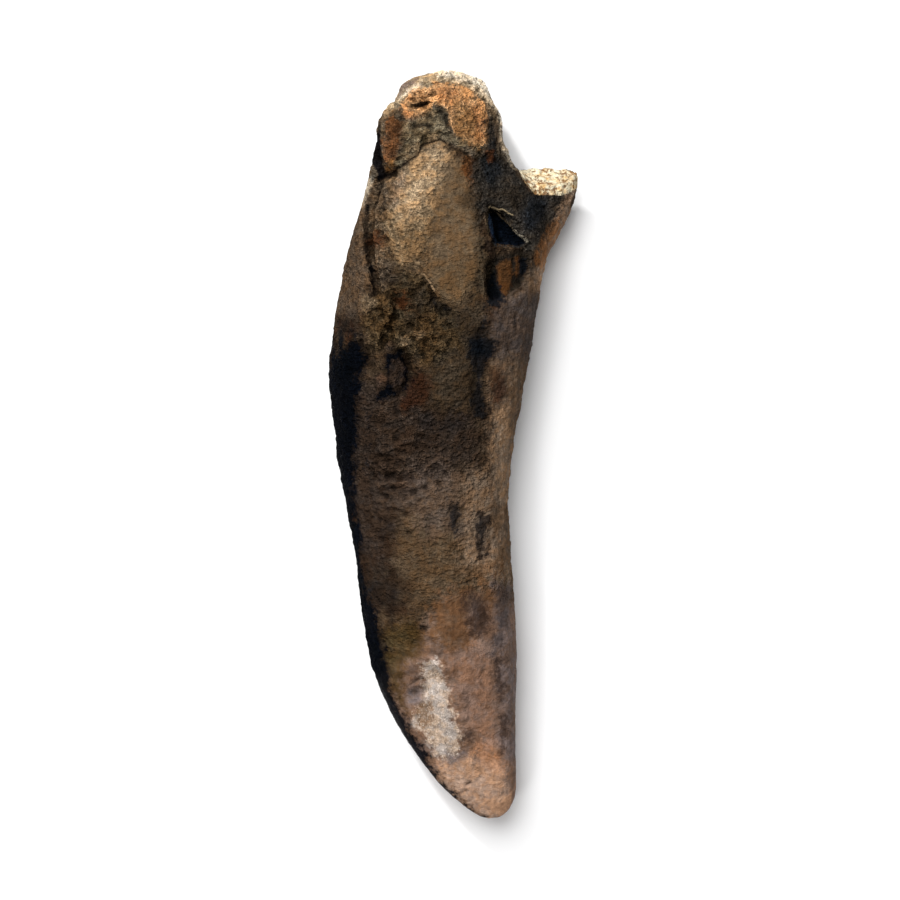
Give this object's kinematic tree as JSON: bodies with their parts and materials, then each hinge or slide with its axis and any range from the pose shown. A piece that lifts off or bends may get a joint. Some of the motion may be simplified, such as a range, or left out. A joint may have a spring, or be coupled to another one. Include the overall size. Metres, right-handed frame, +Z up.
{
  "type": "fossil smilodon tooth",
  "caption": "Fossil sabre-tooth canine lying on its side: a thick curved root with a crusted end and a broken flange, tapering to a worn pointed crown.",
  "frame": {"origin": "on the surface that the tooth rests on, under the middle of its box", "axes": "+Y along the tooth to its root end, -Y to the tip of the crown, +X to the side of the broken flange, +Z up"},
  "size_m": [0.0602, 0.18, 0.0297],
  "materials": {
    "fossil": "satin"
  },
  "bodies": {
    "root": {"tooth": "fossil"}
  },
  "joints": []
}
